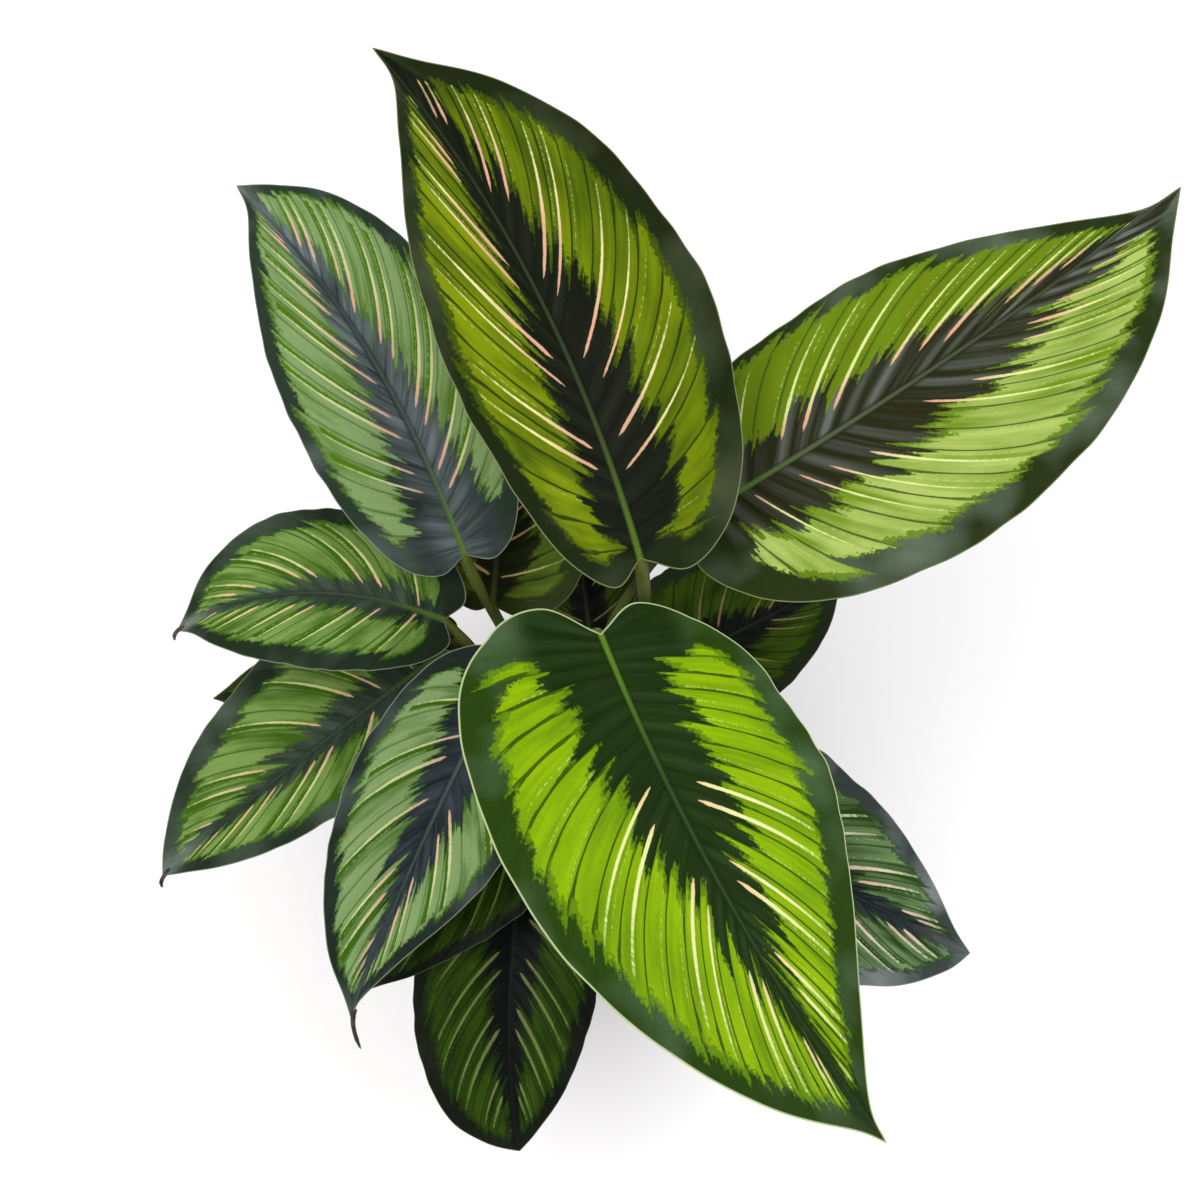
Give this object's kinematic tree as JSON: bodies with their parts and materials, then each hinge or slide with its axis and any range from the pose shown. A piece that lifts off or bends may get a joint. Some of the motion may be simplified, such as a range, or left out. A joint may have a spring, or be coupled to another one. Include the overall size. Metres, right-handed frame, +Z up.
{
  "type": "potted calathea plant",
  "caption": "Leafy houseplant in a plain round tapered pot: broad pointed oval leaves with striped pattern, waved edges and purple undersides, fanned out on slim arching stalks.",
  "frame": {"origin": "centre of the pot's flat underside, on the surface that the pot stands on", "axes": "+Z up along the pot's axis; -Y is the front, the side towards the viewer in the picture; +X is to the viewer's right"},
  "size_m": [0.3307, 0.3192, 0.242],
  "materials": {
    "leaf_blade": "satin",
    "leaf_stalk": "satin",
    "soil": "matte",
    "pot_plastic": "satin"
  },
  "bodies": {
    "root": {"leaf_back_blade": "leaf_blade", "leaf_back_inner_blade": "leaf_blade", "leaf_back_inner_stalk": "leaf_stalk", "leaf_back_low_blade": "leaf_blade", "leaf_back_low_stalk": "leaf_stalk", "leaf_back_stalk": "leaf_stalk", "leaf_front_blade": "leaf_blade", "leaf_front_left_blade": "leaf_blade", "leaf_front_left_low_blade": "leaf_blade", "leaf_front_left_low_stalk": "leaf_stalk", "leaf_front_left_stalk": "leaf_stalk", "leaf_front_low_blade": "leaf_blade", "leaf_front_low_stalk": "leaf_stalk", "leaf_front_stalk": "leaf_stalk", "leaf_left_back_blade": "leaf_blade", "leaf_left_back_stalk": "leaf_stalk", "leaf_left_blade": "leaf_blade", "leaf_left_front_blade": "leaf_blade", "leaf_left_front_stalk": "leaf_stalk", "leaf_left_low_blade": "leaf_blade", "leaf_left_low_stalk": "leaf_stalk", "leaf_left_stalk": "leaf_stalk", "leaf_right_back_blade": "leaf_blade", "leaf_right_back_stalk": "leaf_stalk", "leaf_right_blade": "leaf_blade", "leaf_right_front_blade": "leaf_blade", "leaf_right_front_stalk": "leaf_stalk", "leaf_right_stalk": "leaf_stalk", "pot": "pot_plastic", "soil": "soil"}
  },
  "joints": []
}
